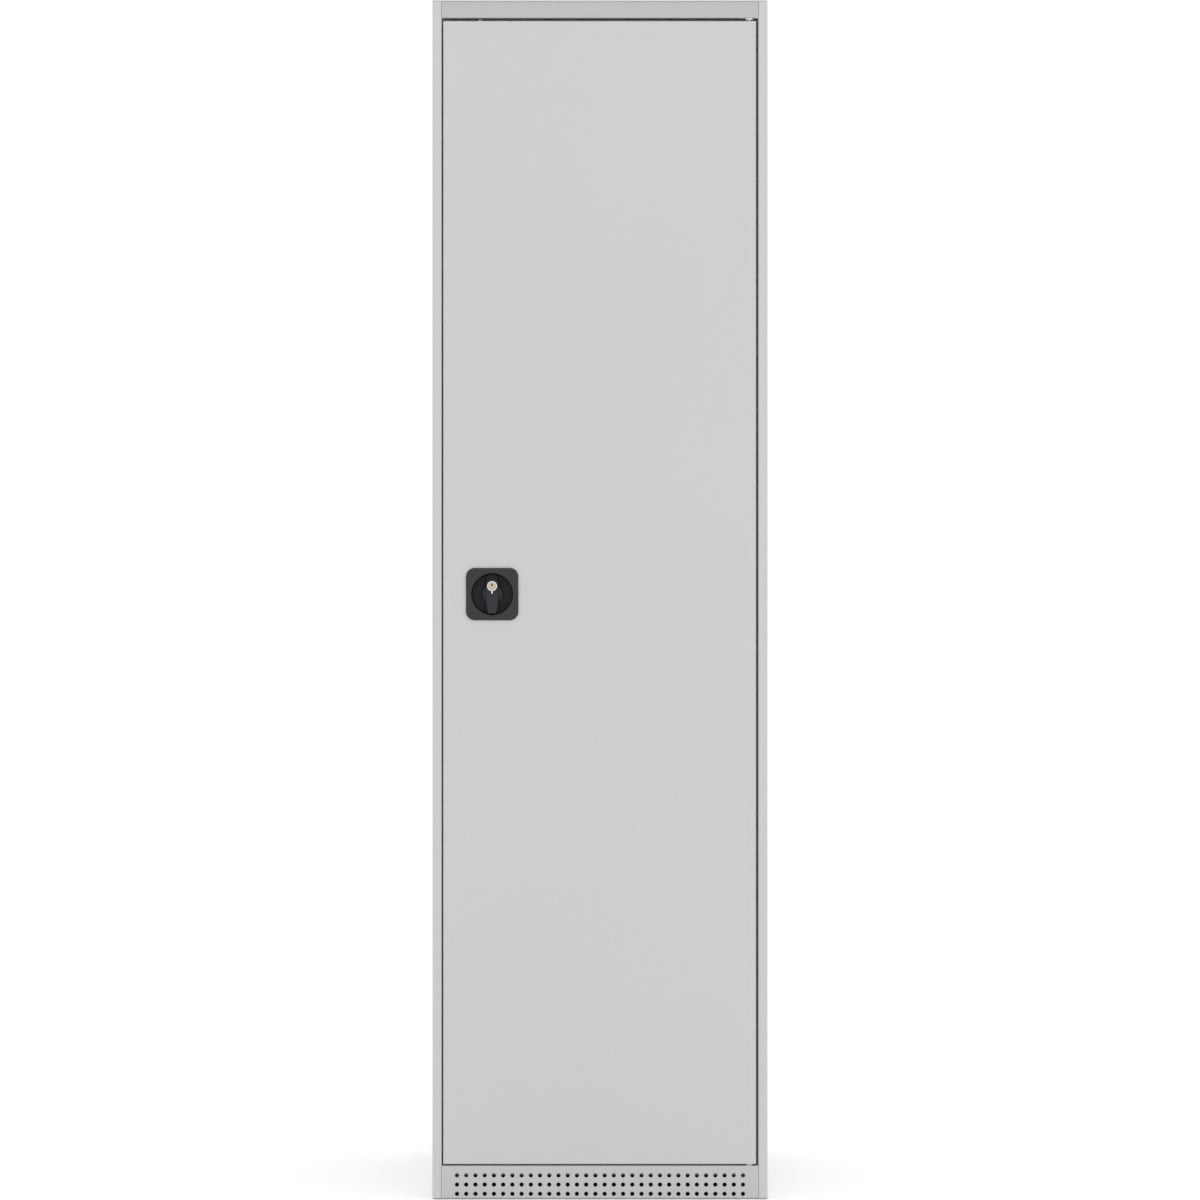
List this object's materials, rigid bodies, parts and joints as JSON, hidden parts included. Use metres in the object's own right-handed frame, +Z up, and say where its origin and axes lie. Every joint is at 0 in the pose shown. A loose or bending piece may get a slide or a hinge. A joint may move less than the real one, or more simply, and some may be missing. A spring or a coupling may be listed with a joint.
{
  "type": "locker cabinet",
  "caption": "Tall single-door sheet-steel locker cabinet with a recessed turn handle and rod lock, perforated plinth, hung shelves and levelling feet.",
  "frame": {"origin": "centre of the overall footprint, on the floor", "axes": "+Z up, +Y from the door to the back, +X to the right as seen from the front"},
  "size_m": [0.545, 0.5298, 1.95],
  "materials": {
    "body_paint": "light grey textured powder coat",
    "door_paint": "light grey textured powder coat",
    "trim_paint": "light grey textured powder coat, a shade darker",
    "zinc_steel": "bright zinc plate",
    "black_plastic": "fine spark-textured black moulding",
    "chrome_plate": "polished plate",
    "nickel_brass": "satin nickel over brass",
    "white_nylon": "natural white nylon",
    "black_rubber": "matt",
    "foot_plastic": "black polyamide glide on a zinc-plated spindle"
  },
  "bodies": {
    "carcass": {"left_side_panel": "body_paint", "right_side_panel": "body_paint", "back_panel": "body_paint", "roof_panel": "body_paint", "header_rail": "trim_paint", "top_stop_rail": "body_paint", "floor_panel": "body_paint", "plinth_panel": "trim_paint", "rear_base_rail": "body_paint", "front_left_shelf_rail": "body_paint", "front_right_shelf_rail": "body_paint", "rear_left_shelf_rail": "body_paint", "rear_right_shelf_rail": "body_paint", "shelf_clips": "zinc_steel", "top_hinge_bracket": "body_paint", "bottom_hinge_bracket": "body_paint", "top_hinge_pin": "zinc_steel", "bottom_hinge_pin": "zinc_steel", "top_hinge_washer": "white_nylon", "bottom_hinge_washer": "white_nylon", "foot_brackets": "body_paint", "foot_nuts": "zinc_steel", "foot_access_caps": "body_paint", "door_bumpers": "black_rubber", "back_panel_rivets": "zinc_steel"},
    "door": {"door_panel": "door_paint", "door_stiffener": "door_paint", "top_hinge_block": "zinc_steel", "bottom_hinge_block": "zinc_steel", "top_hinge_bush": "white_nylon", "bottom_hinge_bush": "white_nylon", "lock_bezel": "black_plastic", "lock_case": "zinc_steel", "lock_case_screws": "zinc_steel", "rod_guides": "white_nylon"},
    "handle": {"handle_grip": "black_plastic", "handle_spindle": "zinc_steel", "cam_disc": "zinc_steel", "latch_tongue": "zinc_steel", "tongue_screw": "zinc_steel", "lock_cylinder": "chrome_plate"},
    "plug": {"lock_plug": "nickel_brass", "plug_cam": "zinc_steel"},
    "upper_rod": {"upper_rod": "zinc_steel", "upper_rod_slider": "zinc_steel", "upper_rod_tip": "white_nylon"},
    "lower_rod": {"lower_rod": "zinc_steel", "lower_rod_slider": "zinc_steel", "lower_rod_tip": "white_nylon"},
    "shelf_1": {"shelf_1": "body_paint"},
    "shelf_2": {"shelf_2": "body_paint"},
    "shelf_3": {"shelf_3": "body_paint"},
    "shelf_4": {"shelf_4": "body_paint"},
    "foot_1": {"levelling_foot_1": "foot_plastic"},
    "foot_2": {"levelling_foot_2": "foot_plastic"},
    "foot_3": {"levelling_foot_3": "foot_plastic"},
    "foot_4": {"levelling_foot_4": "foot_plastic"}
  },
  "joints": [
    {"name": "door_swing", "type": "hinge", "parent": "carcass", "child": "door", "pos_m": [0.243, -0.2473, 0], "axis": [0, 0, 1], "range_deg": [0, 110]},
    {"name": "handle_turn", "type": "hinge", "parent": "door", "child": "handle", "pos_m": [-0.1753, -0.2563, 0.984], "axis": [0, 1, 0], "range_deg": [0, 90]},
    {"name": "plug_turn", "type": "hinge", "parent": "handle", "child": "plug", "pos_m": [-0.1753, -0.2563, 0.997], "axis": [0, 1, 0], "range_deg": [0, 90]},
    {"name": "upper_rod_slide", "type": "slide", "parent": "door", "child": "upper_rod", "axis": [0, 0, 1], "range_m": [0, 0.01981]},
    {"name": "lower_rod_slide", "type": "slide", "parent": "door", "child": "lower_rod", "axis": [0, 0, -1], "range_m": [0, 0.01981]},
    {"name": "shelf_1_lift", "type": "slide", "parent": "carcass", "child": "shelf_1", "axis": [0, 0, 1], "range_m": [0, 0.02]},
    {"name": "shelf_2_lift", "type": "slide", "parent": "carcass", "child": "shelf_2", "axis": [0, 0, 1], "range_m": [0, 0.02]},
    {"name": "shelf_3_lift", "type": "slide", "parent": "carcass", "child": "shelf_3", "axis": [0, 0, 1], "range_m": [0, 0.02]},
    {"name": "shelf_4_lift", "type": "slide", "parent": "carcass", "child": "shelf_4", "axis": [0, 0, 1], "range_m": [0, 0.02]},
    {"name": "foot_1_turn", "type": "hinge", "parent": "carcass", "child": "foot_1", "pos_m": [-0.2325, -0.1943, 0], "axis": [0, 0, 1], "continuous": true},
    {"name": "foot_2_turn", "type": "hinge", "parent": "carcass", "child": "foot_2", "pos_m": [0.2325, -0.1943, 0], "axis": [0, 0, 1], "continuous": true},
    {"name": "foot_3_turn", "type": "hinge", "parent": "carcass", "child": "foot_3", "pos_m": [-0.2325, 0.2017, 0], "axis": [0, 0, 1], "continuous": true},
    {"name": "foot_4_turn", "type": "hinge", "parent": "carcass", "child": "foot_4", "pos_m": [0.2325, 0.2017, 0], "axis": [0, 0, 1], "continuous": true}
  ],
  "couplings": [
    {"joint": "upper_rod_slide", "follows": "handle_turn", "m_per_rad": 0.012604},
    {"joint": "lower_rod_slide", "follows": "handle_turn", "m_per_rad": 0.012604}
  ]
}
